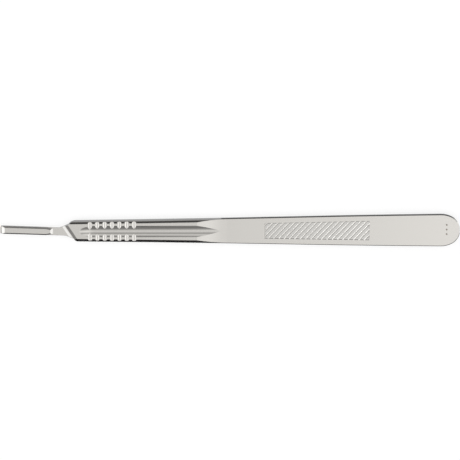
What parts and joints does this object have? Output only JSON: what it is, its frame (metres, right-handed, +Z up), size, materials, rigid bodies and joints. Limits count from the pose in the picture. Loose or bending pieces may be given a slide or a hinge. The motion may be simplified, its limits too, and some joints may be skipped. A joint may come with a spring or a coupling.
{
  "type": "scalpel handle",
  "caption": "Long flat steel scalpel handle with a grooved lug for detachable blades, a fluted and notched grip, and a rounded end.",
  "frame": {"origin": "middle of the bounding box, on the surface that the handle lies on", "axes": "+X along the handle from the blade fitting to the rounded end, +Y across it, +Z up from the face it lies on"},
  "size_m": [0.21, 0.0148, 0.004],
  "materials": {
    "steel": "satin, ground lengthwise, with polished flutes and notches"
  },
  "bodies": {
    "root": {"scalpel_handle": "steel"}
  },
  "joints": []
}
